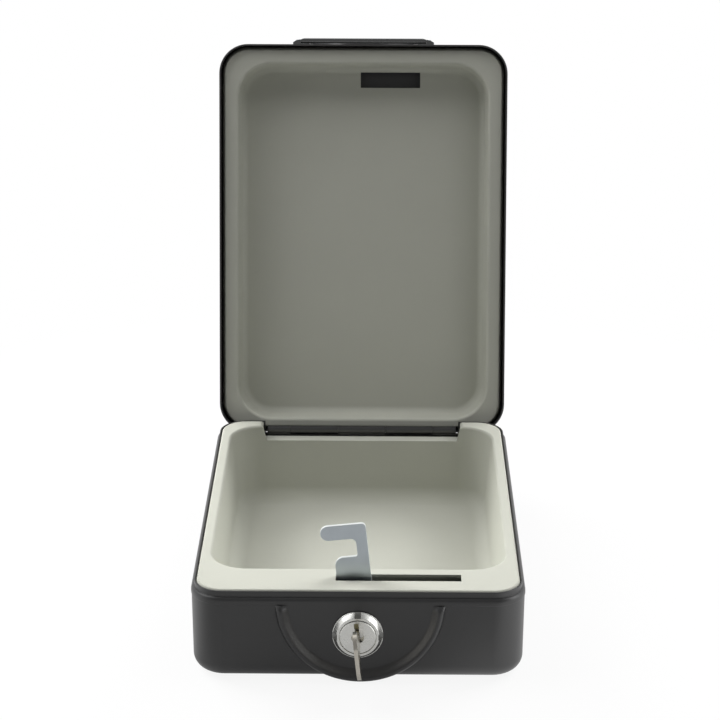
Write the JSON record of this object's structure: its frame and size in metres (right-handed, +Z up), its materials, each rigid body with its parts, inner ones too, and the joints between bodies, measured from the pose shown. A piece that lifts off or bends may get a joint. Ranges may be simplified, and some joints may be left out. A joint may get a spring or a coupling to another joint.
{
  "type": "portable car safe",
  "caption": "Small lined steel lockbox that stands open on its rear hinge, with a key lock that turns a hook and a folding handle on the lid.",
  "frame": {"origin": "middle of the base's flat underside", "axes": "+X to the right seen from the lock, +Y to the hinge at the back, +Z up"},
  "size_m": [0.17, 0.3637, 0.2663],
  "materials": {
    "black_steel": "satin charcoal powder coat",
    "liner": "pale warm grey, soft and fully matt",
    "zinc_steel": "zinc-plated stamped steel with a cool tint",
    "lock_chrome": "polished chrome plate",
    "key_nickel": "nickel plate, warm and lightly worn",
    "brass": "plain stamped brass",
    "handle_black": "near-black with a soft gloss"
  },
  "bodies": {
    "base": {"base_shell": "black_steel", "base_liner": "liner", "hinge_base_leaf": "black_steel", "hinge_pin": "zinc_steel", "lock_body": "lock_chrome", "lock_washer": "zinc_steel", "lock_nut": "zinc_steel"},
    "lock": {"lock_plug": "lock_chrome", "lock_wafer_1": "brass", "lock_wafer_2": "brass", "lock_wafer_3": "brass", "lock_wafer_4": "brass", "lock_wafer_5": "brass", "hook_cam": "zinc_steel", "cam_washer": "zinc_steel", "cam_nut": "zinc_steel"},
    "key": {"key": "key_nickel"},
    "lid": {"lid_shell": "black_steel", "lid_liner": "liner", "hinge_lid_leaf": "black_steel", "strike_bracket": "zinc_steel", "handle_lug_left": "handle_black", "handle_lug_right": "handle_black", "handle_pin_left": "zinc_steel", "handle_pin_right": "zinc_steel"},
    "handle": {"handle_grip": "handle_black"}
  },
  "joints": [
    {"name": "lid_hinge", "type": "hinge", "parent": "base", "child": "lid", "pos_m": [0, 0.1131, 0.0435], "axis": [1, 0, 0], "range_deg": [0, 105]},
    {"name": "lock_turn", "type": "hinge", "parent": "base", "child": "lock", "pos_m": [0, -0.1, 0.0263], "axis": [0, 1, 0], "range_deg": [0, 90]},
    {"name": "key_pull", "type": "slide", "parent": "lock", "child": "key", "axis": [0, -1, 0], "range_m": [0, 0.02]},
    {"name": "handle_fold", "type": "hinge", "parent": "lid", "child": "handle", "pos_m": [0, 0.1777, 0.26451], "axis": [1, 0, 0], "range_deg": [0, 180]}
  ],
  "couplings": [
    {"joint": "lock_turn", "follows": "lid_hinge", "ratio": 0.85714}
  ]
}
